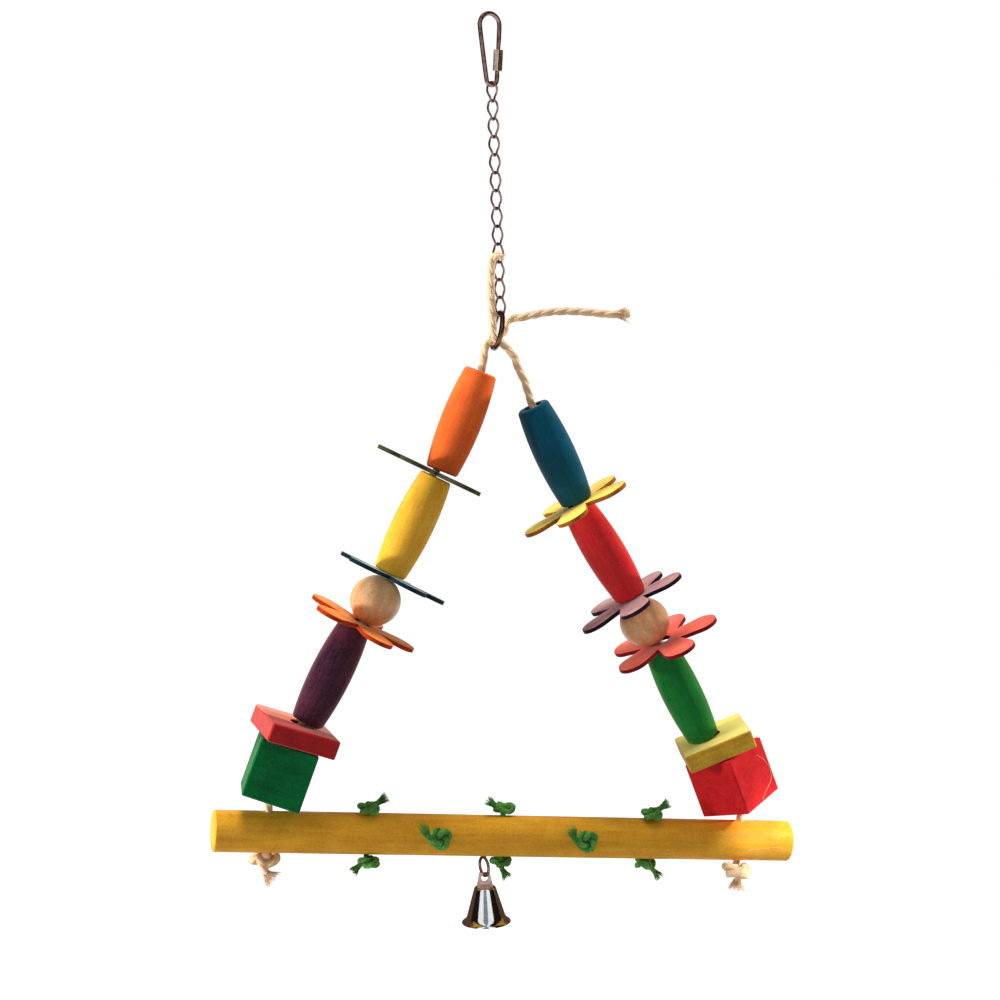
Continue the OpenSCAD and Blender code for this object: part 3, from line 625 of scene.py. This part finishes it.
# Bell: spun from thin brass and nickel plated, with a rolled lip. It hangs from a pressed tab that
# is riveted through its crown, and its clapper hangs in it from a loop of the same rivet.
nickel = plate("bell nickel", paint(236, 238, 240), 0.1, paint(222, 220, 220))
profile = [(1.2, 0), (2.8, 0), (4.4, 0), (4.94, -0.11), (5.39, -0.41), (5.69, -0.86), (5.82, -1.4), (6.25, -2.8),
           (6.9, -5.1), (7.6, -7.5), (8.4, -10.2), (9.1, -12.6), (9.65, -14.5), (10.05, -15.7), (10.5, -16.6),
           (11.2, -17.35), (12.0, -17.9), (12.5, -18.3), (12.72, -18.7), (12.66, -18.95), (12.4, -19.05)]
axis_x, crown_z = -19.836, -442.805
spun_mesh = bpy.data.meshes.new("spun_bell")
spun_mesh.from_pydata([((axis_x + r) * MM, 0, (crown_z + z) * MM) for r, z in profile],
                      [(k, k + 1) for k in range(len(profile) - 1)], [])
spun = bpy.data.objects.new("spun_bell", spun_mesh)
bpy.context.scene.collection.objects.link(spun)
bpy.ops.object.select_all(action="DESELECT")
bpy.context.view_layer.objects.active = spun
spun.select_set(True)
bpy.ops.object.mode_set(mode="EDIT")
bpy.ops.mesh.select_all(action="SELECT")
bpy.ops.mesh.spin(steps=96, angle=2 * math.pi, center=(axis_x * MM, 0, crown_z * MM), axis=(0, 0, 1))
bpy.ops.mesh.select_all(action="SELECT")
bpy.ops.mesh.remove_doubles(threshold=0.000005)
bpy.ops.mesh.normals_make_consistent(inside=False)
bpy.ops.object.mode_set(mode="OBJECT")
if sum(face.normal.z for face in spun.data.polygons if face.center.z > (crown_z - 0.05) * MM) < 0:
    spun.data.flip_normals()
wall = spun.modifiers.new("wall", "SOLIDIFY")
wall.thickness = 0.0008
wall.offset = -1
bpy.ops.object.modifier_apply(modifier="wall")
bpy.ops.object.shade_smooth_by_angle(angle=math.radians(40))
spun.data.materials.append(nickel)
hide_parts("bell_shell")
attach(spun, "bell")
for node in ("bell_hanger", "bell_clapper"):
    finish_node(node, plate(node + " nickel", paint(176, 152, 142), 0.14, paint(128, 98, 90)))

# Studio: a pale floor well below the swing, white all round, a soft lamp at each side, one above and
# a narrow spot on the perch's right end. Dark cards stand round the swing and close round the bell:
# only what reflects sees them, and they give the metal its stripes.
bpy.ops.object.select_all(action="DESELECT")
bpy.ops.mesh.primitive_plane_add(size=12, location=(0, 0, -0.62))
floor = bpy.context.active_object
floor.name = "floor"
white = bpy.data.materials.new("white floor")
white.use_nodes = True
n, wire = white.node_tree.nodes, white.node_tree.links.new
n["Principled BSDF"].inputs["Base Color"].default_value = (0.42, 0.42, 0.42, 1)
n["Principled BSDF"].inputs["Roughness"].default_value = 0.9
n["Principled BSDF"].inputs["Specular IOR Level"].default_value = 0
spot = n.new("ShaderNodeTexCoord")
reach = n.new("ShaderNodeVectorMath")
reach.operation = "LENGTH"
fade = n.new("ShaderNodeMapRange")
fade.inputs["From Min"].default_value = 0.2
fade.inputs["From Max"].default_value = 2.2
fade.inputs["To Min"].default_value = 0.70
fade.inputs["To Max"].default_value = 0.90
rays = n.new("ShaderNodeLightPath")
first = n.new("ShaderNodeMath")
first.operation = "MAXIMUM"
second = n.new("ShaderNodeMath")
second.operation = "MAXIMUM"
seen = n.new("ShaderNodeMath")
seen.operation = "MULTIPLY"
glow = n.new("ShaderNodeEmission")
both = n.new("ShaderNodeAddShader")
wire(spot.outputs["Object"], reach.inputs[0])
wire(reach.outputs["Value"], fade.inputs["Value"])
wire(rays.outputs["Is Camera Ray"], first.inputs[0])
wire(rays.outputs["Is Glossy Ray"], first.inputs[1])
wire(first.outputs[0], second.inputs[0])
wire(rays.outputs["Is Transmission Ray"], second.inputs[1])
wire(second.outputs[0], seen.inputs[0])
wire(fade.outputs["Result"], seen.inputs[1])
wire(seen.outputs[0], glow.inputs["Strength"])
wire(n["Principled BSDF"].outputs[0], both.inputs[0])
wire(glow.outputs[0], both.inputs[1])
wire(both.outputs[0], n["Material Output"].inputs["Surface"])
floor.data.materials.append(white)

# The cards' shades glow on their own and no lamp lights them, so the stripes they give the metal are painted
# reflections.
card_shades = []
for shade, colour in (("black card", (0.012, 0.008, 0.006, 1)), ("brown card", (0.10, 0.05, 0.035, 1)),
                      ("grey card", (0.24, 0.27, 0.32, 1))):
    m = bpy.data.materials.new(shade)
    m.use_nodes = True
    m.node_tree.nodes.remove(m.node_tree.nodes["Principled BSDF"])
    glow = m.node_tree.nodes.new("ShaderNodeEmission")
    glow.inputs["Color"].default_value = colour
    m.node_tree.links.new(glow.outputs[0], m.node_tree.nodes["Material Output"].inputs["Surface"])
    card_shades.append(m)
# Each stand of cards: degrees away from the camera's side, degrees of height, and which shade.
for name, radius, middle, stands in (
        ("dark_cards", 2.2, (0, 0, -0.2), ((0, 12, -35, 80, 0), (50, 165, -90, 75, 1))),
        ("bell_cards", 0.1, (-0.0198, 0, -0.455),
         ((0, 14, -50, 80, 2), (46, 96, -70, 80, 0), (96, 180, -70, 80, 1)))):
    bpy.ops.object.select_all(action="DESELECT")
    bpy.ops.mesh.primitive_uv_sphere_add(segments=90, ring_count=36, radius=radius, location=middle)
    cards = bpy.context.active_object
    cards.name = name
    for shade in card_shades:
        cards.data.materials.append(shade)
    open_faces = []
    for face in cards.data.polygons:
        c = face.center
        off = abs((math.degrees(math.atan2(c.x, -c.y)) + CAMERA_TURN + 180) % 360 - 180)
        rise = math.degrees(math.asin(c.z / c.length))
        found = [stand[4] for stand in stands if stand[0] <= off < stand[1] and stand[2] < rise < stand[3]]
        if found:
            face.material_index = found[0]
        else:
            open_faces.append(face.index)
    trim = bmesh.new()
    trim.from_mesh(cards.data)
    trim.faces.ensure_lookup_table()
    bmesh.ops.delete(trim, geom=[trim.faces[k] for k in open_faces], context="FACES")
    trim.to_mesh(cards.data)
    trim.free()
    cards.visible_camera = False
    cards.visible_diffuse = False
    cards.visible_shadow = False
    cards.visible_transmission = False

world = bpy.data.worlds.new("studio")
bpy.context.scene.world = world
world.use_nodes = True
n, wire = world.node_tree.nodes, world.node_tree.links.new
rays = n.new("ShaderNodeLightPath")
first = n.new("ShaderNodeMath")
first.operation = "MAXIMUM"
second = n.new("ShaderNodeMath")
second.operation = "MAXIMUM"
level_light = n.new("ShaderNodeMapRange")
level_light.inputs["To Min"].default_value = 0.33
level_light.inputs["To Max"].default_value = 1.0
wire(rays.outputs["Is Camera Ray"], first.inputs[0])
wire(rays.outputs["Is Glossy Ray"], first.inputs[1])
wire(first.outputs[0], second.inputs[0])
wire(rays.outputs["Is Transmission Ray"], second.inputs[1])
wire(second.outputs[0], level_light.inputs["Value"])
wire(level_light.outputs["Result"], n["Background"].inputs["Strength"])
n["Background"].inputs["Color"].default_value = (1, 1, 1, 1)

for name, place, power, width, height in (("left_lamp", (-1.2, 0.02, -0.20), 16, 0.3, 0.12),
                                          ("right_lamp", (1.1, 0.12, -0.32), 11, 0.14, 0.14),
                                          ("top_lamp", (0, -0.05, 1.1), 17, 0.5, 0.5)):
    lamp = bpy.data.lights.new(name, "AREA")
    lamp.shape = "RECTANGLE"
    lamp.size = width
    lamp.size_y = height
    lamp.energy = power
    stand = bpy.data.objects.new(name, lamp)
    bpy.context.scene.collection.objects.link(stand)
    stand.visible_glossy = False
    stand.matrix_world = Matrix.Translation(place) @ (
        Vector(place) - Vector((0, 0, -0.28))).to_track_quat("Z", "Y").to_matrix().to_4x4()
spot_place = Vector((0.68, -0.69, 0.19))
lamp = bpy.data.lights.new("low_spot", "SPOT")
lamp.energy = 60
lamp.shadow_soft_size = 0.01
lamp.spot_size = math.radians(2.3)
lamp.spot_blend = 0.2
stand = bpy.data.objects.new("low_spot", lamp)
bpy.context.scene.collection.objects.link(stand)
stand.matrix_world = Matrix.Translation(spot_place) @ (
    spot_place - Vector((0.133, -0.009, -0.43))).to_track_quat("Z", "Y").to_matrix().to_4x4()
